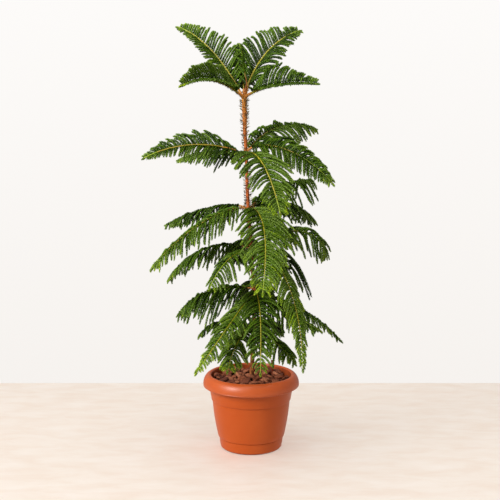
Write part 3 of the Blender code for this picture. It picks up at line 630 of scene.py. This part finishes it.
def old_spines():
    """Dry, bristly old needles on the trunk and under the bare starts of the boughs, and the leader's green ones."""
    rng = np.random.default_rng(17)
    pile = Pile()
    count = 1500
    z = rng.uniform(0.30, 0.868, count)
    keep = rng.random(count) < np.interp(z, [0.30, 0.45, 0.60, 0.66, 0.74, 0.78, 0.86], [0.10, 0.25, 0.60, 0.75, 0.55, 0.9, 0.8])
    z = z[keep]
    turn = np.arange(len(z)) * math.radians(137.5)
    x = np.array([trunk_x(h) for h in z])
    r = np.array([trunk_radius(h) for h in z]) * 0.96
    out = np.stack([np.cos(turn), np.sin(turn), np.zeros(len(z))], 1)
    place = np.stack([x, np.zeros(len(z)), z], 1) + out * r[:, None]
    up = np.tile([0.0, 0.0, 1.0], (len(z), 1))
    length = rng.uniform(0.0065, 0.0108, len(z))
    tilt = np.radians(rng.normal(66, 14, len(z)))
    points, faces = needle_solids(place, up, out, length, np.full(len(z), 0.00095), tilt + 0.45, tilt, foot=-0.0003)
    pile.add(points, faces, np.repeat(rng.choice(3, len(z), p=[0.35, 0.35, 0.30]), 4))
    for bough in boughs.values():
        reach = {"t": 0.55, "s": 0.22}.get(bough.name[0], 0.16)
        count = int(bough.length * reach * 1500)
        shares = rng.uniform(0.01, reach, count)
        spots = [bough.at(t) for t in shares]
        place, along, side, upper = (np.array([q[k] for q in spots]) for k in range(4))
        turn = rng.uniform(-np.pi, 0.0, count)
        out = side * np.cos(turn)[:, None] + upper * np.sin(turn)[:, None]
        if bough.name in ("t2", "t5"):  # these two lie on edge, and the old needles hang from the low side
            out = unit(np.array([0, -0.25, -1.0]) + rng.normal(0, 0.30, (count, 3)))
        tilt = np.radians(rng.normal(66, 14, count))
        length = rng.uniform(0.0050, 0.0082, count) * (1 - 0.3 * shares / reach)
        points, faces = needle_solids(place, along, out, length, np.full(count, 0.00085), tilt + 0.3, tilt, foot=0.0012)
        pile.add(points, faces, np.repeat(rng.choice(3, count, p=[0.30, 0.35, 0.35]), 4))
    # the leader's green needles
    count = 520
    z = rng.uniform(0.925, TRUNK_HEIGHTS[-1] + 0.002, count)
    turn = np.arange(count) * math.radians(137.5)
    x = np.array([trunk_x(h) for h in z])
    out = np.stack([np.cos(turn), np.sin(turn), np.zeros(count)], 1)
    place = np.stack([x, np.zeros(count), z], 1) + out * 0.0007
    up = np.tile([0.0, 0.0, 1.0], (count, 1))
    tilt = np.radians(rng.normal(28, 6, count))
    points, faces = needle_solids(place, up, out, rng.uniform(0.0045, 0.0065, count), np.full(count, 0.0013), tilt + 0.35, tilt)
    pile.add(points, faces, np.repeat(rng.integers(3, 5, count), 4))
    return pile


pile = old_spines()
piece = pile.object("old_spines", [spine_brown, spine_dark, spine_pale, green_materials[1], green_materials[2]])
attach(piece, "root")
print("spines", pile.triangles())


# ---------------------------------------------------------------- pot
plastic = material("pot_plastic", srgb(206, 92, 44), 0.42, Specular_IOR_Level=0.5)
nodes, links, shader = nodes_of(plastic)
cloud = add_noise(plastic, 9.0, 3.0, 0.5)
cloud_tone = ramp(plastic, cloud.outputs["Fac"], [(0.30, srgb(178, 75, 23)), (0.55, srgb(183, 81, 27)), (0.75, srgb(189, 87, 32))])
links.new(cloud_tone.outputs["Color"], shader.inputs["Base Color"])
grain = add_noise(plastic, 900.0, 2.0, 0.5)
rough = ramp(plastic, cloud.outputs["Fac"], [(0.3, grey(0.34)), (0.7, grey(0.44))])
links.new(rough.outputs["Color"], shader.inputs["Roughness"])
bump(plastic, grain.outputs["Fac"], 0.00012, 0.35)
# the handled rim is polished, and the wall below it has the mould's duller face
spot = nodes.new("ShaderNodeTexCoord")
split = nodes.new("ShaderNodeSeparateXYZ")
links.new(spot.outputs["Generated"], split.inputs[0])
gloss = ramp(plastic, split.outputs["Z"], [(0.80, grey(0.20)), (0.87, grey(0.50))])
links.new(gloss.outputs["Color"], shader.inputs["Specular IOR Level"])

RIM_R, RIM_WIDEST_Z, RIM_FOOT_Z, RIM_FOOT_R = 0.120, 0.1625, 0.1595, 0.1178
CREST_R, NECK_R, BAND_Z, BAND_R, BAND_STEP = 0.1035, 0.1050, 0.1240, 0.0990, 0.0018
SHOE_Z, SHOE_R, SHOE_STEP, FOOT_R, FOOT_ROUND = 0.0300, 0.0830, 0.0024, 0.0700, 0.0075
WALL, FLOOR_T, BELLY = 0.0030, 0.0040, 0.0034


def arc(cx, cz, rx, rz, start, end, count):
    for i in range(count):
        a = math.radians(start + (end - start) * i / (count - 1))
        yield cx + rx * math.cos(a), cz + rz * math.sin(a)


def body_radius(z):
    share = (z - SHOE_Z) / (BAND_Z - SHOE_Z)
    return SHOE_R + (BAND_R - BAND_STEP - SHOE_R) * share + BELLY * 4 * share * (1 - share) * 0.55


def pot_profile():
    """From the inside of the floor up the wall, over the rolled rim, under it, and down outside."""
    inner_foot = FOOT_R - WALL - 0.002
    points = [(0.0, FLOOR_T), (inner_foot - 0.003, FLOOR_T)]
    points += list(arc(inner_foot - 0.001, FLOOR_T + 0.005, 0.005, 0.005, -80, 0, 4))
    for z in (0.030, 0.060, 0.095):
        points.append((body_radius(z) - WALL, z))
    points.append((BAND_R - WALL - 0.001, 0.125))
    points += [(MOUTH_R - 0.0008, 0.160), (MOUTH_R - 0.0002, 0.176)]
    points += list(arc(CREST_R, POT_TOP - 0.0060, CREST_R - MOUTH_R, 0.0060, 178, 96, 9))
    points += list(arc(CREST_R, RIM_WIDEST_Z, RIM_R - CREST_R, POT_TOP - RIM_WIDEST_Z, 86, 4, 22))
    # the bead along the rim's lower edge
    points += [(RIM_R - 0.0001, RIM_WIDEST_Z), (RIM_R - 0.0005, RIM_FOOT_Z + 0.0026), (RIM_R - 0.0001, RIM_FOOT_Z + 0.0016)]
    points += list(arc(RIM_FOOT_R + 0.0004, RIM_FOOT_Z + 0.0012, 0.0016, 0.0012, 10, -150, 7))
    # up inside the hollow rim and down to the neck
    points += [(RIM_FOOT_R - 0.0016, RIM_FOOT_Z + 0.004)]
    points += list(arc(CREST_R + 0.0035, RIM_WIDEST_Z + 0.002, 0.0105, 0.0195, 12, 90, 8))
    points += [(NECK_R + 0.0004, 0.1780), (NECK_R + 0.0002, 0.1600), (NECK_R, RIM_FOOT_Z - 0.0030)]
    for share in (0.25, 0.5, 0.75, 0.96):
        z = RIM_FOOT_Z - 0.003 + (BAND_Z + 0.0006 - RIM_FOOT_Z + 0.003) * share
        points.append((NECK_R + (BAND_R + 0.0004 - NECK_R) * share, z))
    points += [(BAND_R + 0.0004, BAND_Z + 0.0006), (BAND_R + 0.0001, BAND_Z + 0.0001), (BAND_R - BAND_STEP - 0.0006, BAND_Z - 0.0002), (BAND_R - BAND_STEP - 0.0006, BAND_Z - 0.0012)]
    for i in range(1, 17):
        z = BAND_Z - 0.0016 + (SHOE_Z - BAND_Z + 0.0016) * i / 17
        points.append((body_radius(z), z))
    points += [(SHOE_R, SHOE_Z + 0.0006), (SHOE_R - 0.0003, SHOE_Z), (SHOE_R - SHOE_STEP - 0.0008, SHOE_Z + 0.0003), (SHOE_R - SHOE_STEP - 0.0008, SHOE_Z - 0.0014), (SHOE_R - SHOE_STEP, SHOE_Z - 0.0020)]
    points += [(SHOE_R - SHOE_STEP - 0.0008, 0.0225), (FOOT_R + FOOT_ROUND + 0.0012, 0.0135)]
    points += list(arc(FOOT_R, FOOT_ROUND, FOOT_ROUND, FOOT_ROUND, 0, -90, 10))
    points += [(0.0, 0.0)]
    return points


def turned(name, profile, steps, made):
    mesh = bpy.data.meshes.new(name)
    mesh.from_pydata([(x, 0.0, z) for x, z in profile], [(i, i + 1) for i in range(len(profile) - 1)], [])
    obj = bpy.data.objects.new(name, mesh)
    bpy.context.scene.collection.objects.link(obj)
    screw = obj.modifiers.new("turn", "SCREW")
    screw.axis = "Z"
    screw.steps = screw.render_steps = steps
    screw.use_merge_vertices = True
    screw.merge_threshold = 0.00001
    screw.use_smooth_shade = True
    bpy.context.view_layer.update()
    whole = bpy.data.meshes.new_from_object(obj.evaluated_get(bpy.context.evaluated_depsgraph_get()))
    obj.modifiers.clear()
    obj.data = whole
    whole.materials.clear()
    whole.materials.append(made)
    whole.shade_smooth()
    whole.set_sharp_from_angle(angle=math.radians(38))
    return obj


pot = turned("pot_shell", pot_profile(), 144, plastic)
# painted shade: the wall's inner face above the mix gets a darker, mottled plastic colour, standing in for the shade
# inside the pot
inside_painted_shade = material("pot_inside", srgb(112, 46, 18), 0.62, Specular_IOR_Level=0.3)
inside_shade_mottle = add_noise(inside_painted_shade, 60.0, 4.0, 0.6, stretch=(1, 1, 0.4))
nodes, links, shader = nodes_of(inside_painted_shade)
tone = ramp(inside_painted_shade, inside_shade_mottle.outputs["Fac"], [(0.32, srgb(112, 46, 16)), (0.55, srgb(150, 64, 22)), (0.75, srgb(172, 78, 34))])
links.new(tone.outputs["Color"], shader.inputs["Base Color"])
bump(inside_painted_shade, inside_shade_mottle.outputs["Fac"], 0.0003, 0.5)
pot.data.materials.append(inside_painted_shade)
# painted shade: the bottom 3 mm of the foot's curve gets a dark mottled brown, standing in for the shade where the pot
# meets the floor
foot_painted_shade = material("pot_foot_edge", srgb(112, 42, 12), 0.7, Specular_IOR_Level=0.2)
foot_shade_mottle = add_noise(foot_painted_shade, 90.0, 4.0, 0.6)
nodes, links, shader = nodes_of(foot_painted_shade)
tone = ramp(foot_painted_shade, foot_shade_mottle.outputs["Fac"], [(0.35, srgb(84, 32, 12)), (0.55, srgb(112, 44, 14)), (0.75, srgb(140, 58, 24))])
links.new(tone.outputs["Color"], shader.inputs["Base Color"])
bump(foot_painted_shade, foot_shade_mottle.outputs["Fac"], 0.0004, 0.6)
pot.data.materials.append(foot_painted_shade)
# painted shade: inward-facing faces inside the pot take the darker inside material
for face in pot.data.polygons:
    reach = math.hypot(face.center.x, face.center.y)
    if reach < MOUTH_R + 0.0006 and FLOOR_T - 0.0005 < face.center.z < POT_TOP - 0.0030 and (
        face.normal.x * face.center.x + face.normal.y * face.center.y < 0.2 * reach
    ):
        face.material_index = 1
    # painted shade: faces in the lowest 3 mm take the dark foot material
    elif face.center.z < 0.0030:
        face.material_index = 2
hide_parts("pot")
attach(pot, "root")


# ---------------------------------------------------------------- soil and mulch
soil = material("soil", srgb(20, 13, 10), 0.95, Specular_IOR_Level=0.1)
crumbs = add_noise(soil, 260.0, 5.0, 0.6)
nodes, links, shader = nodes_of(soil)
tone = ramp(soil, crumbs.outputs["Fac"], [(0.35, srgb(9, 6, 5)), (0.6, srgb(24, 15, 11)), (0.8, srgb(44, 28, 20))])
links.new(tone.outputs["Color"], shader.inputs["Base Color"])
bump(soil, crumbs.outputs["Fac"], 0.0015, 1.0)

CHIP_TONES = [(130, 72, 46), (148, 88, 60), (108, 56, 36), (92, 46, 30), (162, 102, 72), (118, 58, 34)]
chip_materials = []
for i, tone in enumerate(CHIP_TONES):
    made = material("bark_chip_%d" % i, srgb(*tone), 0.78, Specular_IOR_Level=0.25)
    layers = add_noise(made, 150.0, 4.0, 0.65, stretch=(1, 1, 2.2), distortion=0.8)
    darker = srgb(*[c * 0.70 for c in tone])
    lighter = srgb(*[min(255, c * 1.16) for c in tone])
    band = ramp(made, layers.outputs["Fac"], [(0.32, darker), (0.52, srgb(*tone)), (0.72, lighter)])
    nodes, links, shader = nodes_of(made)
    links.new(band.outputs["Color"], shader.inputs["Base Color"])
    bump(made, layers.outputs["Fac"], 0.0012, 0.7)
    chip_materials.append(made)


def soil_bed():
    """A crumbly disc of dark mix, as a dense grid lifted by noise, closed below."""
    rings, sides = 34, 96
    radius = MOUTH_R - 0.0026
    points, faces = [(0.0, 0.0, SOIL_TOP + 0.0107)], []
    for k in range(1, rings + 1):
        r = radius * k / rings
        for i in range(sides):
            a = 2 * math.pi * i / sides
            x, y = r * math.cos(a), r * math.sin(a)
            z = SOIL_TOP + 0.0022 + 0.0085 * (1 - (r / radius) ** 2) + 0.0016 * noise.noise(Vector((x * 160, y * 160, 3.0)))
            points.append((x, y, z))
    for i in range(sides):
        faces.append((0, 1 + i, 1 + (i + 1) % sides))
    for k in range(1, rings):
        for i in range(sides):
            a, b = 1 + (k - 1) * sides + i, 1 + (k - 1) * sides + (i + 1) % sides
            faces += [(a, a + sides, b), (b, a + sides, b + sides)]
    low = len(points)
    for i in range(sides):
        a = 2 * math.pi * i / sides
        points.append(((radius - 0.003) * math.cos(a), (radius - 0.003) * math.sin(a), 0.125))
    points.append((0.0, 0.0, 0.125))
    edge = 1 + (rings - 1) * sides
    for i in range(sides):
        a, b = edge + i, edge + (i + 1) % sides
        c, d = low + i, low + (i + 1) % sides
        faces += [(a, c, b), (b, c, d), (c, low + sides, d)]
    return np.array(points), np.array(faces)


points, faces = soil_bed()
piece = mesh_object("soil_bed", points, faces, [soil], smooth=True)
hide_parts("root_ball")
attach(piece, "root")


def chip_shape(rng, long, wide, thick):
    """One flake of pine bark: a rounded slab with chipped corners and worn layers."""
    bm = bmesh.new()
    bmesh.ops.create_icosphere(bm, subdivisions=3, radius=1.0)
    seed = Vector((rng.uniform(0, 50), rng.uniform(0, 50), rng.uniform(0, 50)))
    cuts = []
    for _ in range(6):
        a = rng.uniform(0, 2 * math.pi)
        cuts.append((Vector((math.cos(a), math.sin(a), rng.uniform(-0.35, 0.35))).normalized(), rng.uniform(0.66, 0.92)))
    for v in bm.verts:
        p = v.co.copy()
        p.z = math.copysign(abs(p.z) ** 0.55, p.z) if p.z else 0.0
        for normal, reach in cuts:
            over = p.dot(normal) - reach
            if over > 0:
                p -= normal * over * 0.9
        ragged = noise.noise(p * 1.6 + seed)
        fine = noise.noise(p * 5.0 + seed)
        step = math.floor((p.z + 0.35 * ragged) * 3.0) / 3.0
        p *= 1 + 0.13 * ragged + 0.05 * fine
        p.z += 0.20 * (step - p.z)
        v.co = Vector((p.x * long / 2, p.y * wide / 2, p.z * thick / 2))
    bm.normal_update()
    points = np.array([v.co[:] for v in bm.verts])
    faces = np.array([[v.index for v in f.verts] for f in bm.faces])
    bm.free()
    return points, faces


def rotation(yaw, pitch, roll):
    cy, sy, cp, sp, cr, sr = math.cos(yaw), math.sin(yaw), math.cos(pitch), math.sin(pitch), math.cos(roll), math.sin(roll)
    rz = np.array([[cy, -sy, 0], [sy, cy, 0], [0, 0, 1]])
    ry = np.array([[cp, 0, sp], [0, 1, 0], [-sp, 0, cp]])
    rx = np.array([[1, 0, 0], [0, cr, -sr], [0, sr, cr]])
    return rz @ ry @ rx


def mulch_chips():
    rng = random.Random(23)
    shapes = [chip_shape(rng, 1.0, rng.uniform(0.55, 0.82), rng.uniform(0.22, 0.38)) for _ in range(14)]
    pile = Pile()
    placed = []
    edge = MOUTH_R - 0.0022
    layers = ((0.1705, 84, 0.024, 0.92), (0.1748, 66, 0.026, 0.85), (0.1785, 34, 0.024, 1.10))
    for base, count, size, space in layers:
        mine, tries = [], 0
        while len(mine) < count and tries < 6000:
            tries += 1
            long = size * rng.choice((0.5, 0.62, 0.75, 0.9, 1.05, 1.25))
            a, r = rng.uniform(0, 2 * math.pi), (edge - long * 0.32) * math.sqrt(rng.random())
            x, y = r * math.cos(a), r * math.sin(a)
            if math.hypot(x - trunk_x(0.17), y) < 0.0050 + long * 0.32:
                continue
            if any(math.hypot(x - q[0], y - q[1]) < space * 0.5 * (long + q[2]) * 0.72 for q in mine):
                continue
            mine.append((x, y, long))
            points, faces = shapes[rng.randrange(len(shapes))]
            tilt = rotation(rng.uniform(0, 2 * math.pi), rng.gauss(0, 0.28), rng.gauss(0, 0.34))
            p = points * long @ tilt.T
            z = base + rng.uniform(-0.0012, 0.0012) + 0.0075 * (1 - (r / edge) ** 2) - 0.0010
            p = p + np.array([x, y, z])
            far = np.hypot(p[:, 0], p[:, 1])
            squeeze = np.where(far > edge, edge / far, 1.0)
            p[:, 0] *= squeeze
            p[:, 1] *= squeeze
            pile.add(p, faces, rng.choices(range(6), (5, 4, 4, 3, 2, 2))[0])
        placed.append(len(mine))
    # crumbs between the chips
    for _ in range(150):
        long = rng.uniform(0.0025, 0.0065)
        a, r = rng.uniform(0, 2 * math.pi), (edge - long) * math.sqrt(rng.random())
        bm = bmesh.new()
        bmesh.ops.create_icosphere(bm, subdivisions=1, radius=0.5)
        q = np.array([v.co[:] for v in bm.verts]) * [1, 0.6, 0.35] * long * rng.uniform(0.9, 1.1)
        f = np.array([[v.index for v in g.verts] for g in bm.faces])
        bm.free()
        q = q @ rotation(rng.uniform(0, 6.3), rng.gauss(0, 0.5), rng.gauss(0, 0.5)).T
        q = q + [r * math.cos(a), r * math.sin(a), rng.uniform(0.1700, 0.1755) + 0.0085 * (1 - (r / edge) ** 2)]
        pile.add(q, f, rng.choices(range(6), (3, 2, 4, 5, 1, 2))[0])
    print("chips", placed, pile.triangles())
    return pile


piece = mulch_chips().object("mulch_chips", chip_materials, smooth=True)
piece.data.set_sharp_from_angle(angle=math.radians(40))
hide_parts("mulch")
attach(piece, "root")


# ---------------------------------------------------------------- second stem
stem = material("young_stem", srgb(176, 72, 40), 0.5)
x0, z0, z1 = 0.0550, 0.1650, 0.2140
share = np.linspace(0, 1, 26)
path = np.stack([x0 - 0.003 * share**1.5, np.full(26, 0.030), z0 + (z1 - z0) * share], 1)
radii = (0.0029 - 0.0010 * share) * (1 + 0.10 * np.sin(share * 40) + 0.06 * np.sin(share * 97))
points, faces, _ = tubes(path[None], radii[None], 10, np.array([[0.0, 1.0, 0.0]]))
piece = mesh_object("second_stem_bark", points, faces, [stem], smooth=True)
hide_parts("second_stem")
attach(piece, "root")


# ---------------------------------------------------------------- stage
def wide_plane(name, corners, made):
    mesh = bpy.data.meshes.new(name)
    mesh.from_pydata(corners, [], [tuple(range(len(corners)))])
    mesh.materials.append(made)
    obj = bpy.data.objects.new(name, mesh)
    bpy.context.scene.collection.objects.link(obj)
    return obj


BACK_EDGE = 0.577  # where the floor ends behind the plant
floor_stone = material("floor_stone", srgb(243, 231, 221), 0.5)
veins = add_noise(floor_stone, 16.0, 7.0, 0.62, stretch=(0.55, 1.5, 1), distortion=0.35)
nodes, links, shader = nodes_of(floor_stone)
tint = ramp(floor_stone, veins.outputs["Fac"], [(0.36, srgb(240, 225, 212)), (0.52, srgb(243, 231, 220)), (0.70, srgb(246, 236, 227))])
links.new(tint.outputs["Color"], shader.inputs["Base Color"])
wide_plane("floor", [(-8, -8, 0), (8, -8, 0), (8, BACK_EDGE, 0), (-8, BACK_EDGE, 0)], floor_stone)
wide_plane("floor_behind", [(-8, BACK_EDGE, 0), (8, BACK_EDGE, 0), (8, 9, -2.6), (-8, 9, -2.6)], floor_stone)

world = bpy.data.worlds.new("studio")
bpy.context.scene.world = world
world.use_nodes = True
background = world.node_tree.nodes["Background"]
background.inputs["Color"].default_value = srgb(251, 247, 243)
background.inputs["Strength"].default_value = 1.0
# the plant is lit by a dimmer, even studio; the pale wall is what the eye sees
nodes, links = world.node_tree.nodes, world.node_tree.links
direction = nodes.new("ShaderNodeTexCoord")
split = nodes.new("ShaderNodeSeparateXYZ")
links.new(direction.outputs["Generated"], split.inputs["Vector"])
height = nodes.new("ShaderNodeMapRange")
height.inputs["From Min"].default_value, height.inputs["From Max"].default_value = -0.28, 0.10
links.new(split.outputs["Z"], height.inputs["Value"])
wall_tone = nodes.new("ShaderNodeValToRGB")
wall_tone.color_ramp.elements[0].color = srgb(246, 242, 238)
wall_tone.color_ramp.elements[1].color = srgb(253, 251, 249)
links.new(height.outputs["Result"], wall_tone.inputs["Fac"])
links.new(wall_tone.outputs["Color"], background.inputs["Color"])
even = nodes.new("ShaderNodeBackground")
even.inputs["Color"].default_value = srgb(250, 248, 246)
even.inputs["Strength"].default_value = 0.39
ray = nodes.new("ShaderNodeLightPath")
pick = nodes.new("ShaderNodeMixShader")
links.new(ray.outputs["Is Camera Ray"], pick.inputs["Fac"])
links.new(even.outputs["Background"], pick.inputs[1])
links.new(background.outputs["Background"], pick.inputs[2])
links.new(pick.outputs["Shader"], nodes["World Output"].inputs["Surface"])


def area_light(name, place, aim, size, power, colour=(1, 1, 1)):
    data = bpy.data.lights.new(name, "AREA")
    data.shape = "RECTANGLE"
    data.size, data.size_y = size
    data.energy = power
    data.color = colour
    obj = bpy.data.objects.new(name, data)
    obj.location = place
    obj.rotation_mode = "QUATERNION"
    obj.rotation_quaternion = (Vector(aim) - Vector(place)).to_track_quat("-Z", "Y")
    bpy.context.scene.collection.objects.link(obj)
    return obj


area_light("key", (-2.5, -1.5, 1.9), (0, 0, 0.45), (1.7, 1.9), 17.0, (1.0, 0.98, 0.95))
area_light("overhead", (-0.2, -0.3, 3.3), (-0.1, -0.1, 0), (2.8, 2.8), 20.0, (1.0, 0.99, 0.97))
# two lights for the plant only, and an even wash for the floor only, so that the shadow stays soft
stage_set = bpy.data.collections.new("stage_set")
for name in ("floor", "floor_behind"):
    stage_set.objects.link(bpy.data.objects[name])
not_stage = bpy.data.collections.new("not_stage")
for name in ("floor", "floor_behind"):
    not_stage.objects.link(bpy.data.objects[name])
# the pot and its mulch have their own pair, which the foliage above them doesn't shade
pot_set = bpy.data.collections.new("pot_set")
for name in ("pot_shell", "mulch_chips", "soil_bed"):
    pot_set.objects.link(bpy.data.objects[name])
    not_stage.objects.link(bpy.data.objects[name])
for entry in not_stage.collection_objects:
    entry.light_linking.link_state = "EXCLUDE"
for light in (
    area_light("pot_key", (-2.2, -1.9, 2.0), (0, 0, 0.1), (1.2, 1.3), 100.0, (1.0, 0.98, 0.94)),
    area_light("pot_top", (0.3, -0.6, 3.0), (0, 0, 0.1), (1.8, 1.8), 34.0, (1.0, 0.99, 0.97)),
):
    light.light_linking.receiver_collection = pot_set
    light.light_linking.blocker_collection = pot_set
for light in (
    area_light("plant_key", (-2.2, -1.9, 2.0), (0, 0, 0.5), (1.0, 1.2), 108.0, (1.0, 0.98, 0.94)),
    area_light("plant_top", (-0.3, -0.5, 3.2), (0, 0, 0.5), (1.6, 1.6), 28.0, (1.0, 0.99, 0.97)),
):
    light.light_linking.receiver_collection = not_stage
wash = area_light("floor_wash", (0, -0.6, 4.2), (0, 0.1, 0), (4.0, 4.0), 130.0, (1.0, 0.985, 0.965))
wash.light_linking.receiver_collection = stage_set
wash.light_linking.blocker_collection = stage_set

camera_data = bpy.data.cameras.new("camera")
camera = bpy.data.objects.new("camera", camera_data)
bpy.context.scene.collection.objects.link(camera)
camera_data.sensor_width = 36.0
camera_data.lens = 72.0
camera_data.clip_start, camera_data.clip_end = 0.05, 60.0
camera.location = (-0.0028, -2.436, 0.848)
camera.rotation_euler = (math.radians(90 - 8.14), 0, 0)
bpy.context.scene.camera = camera
bpy.context.scene.view_settings.view_transform = "Standard"
bpy.context.scene.view_settings.look = "None"
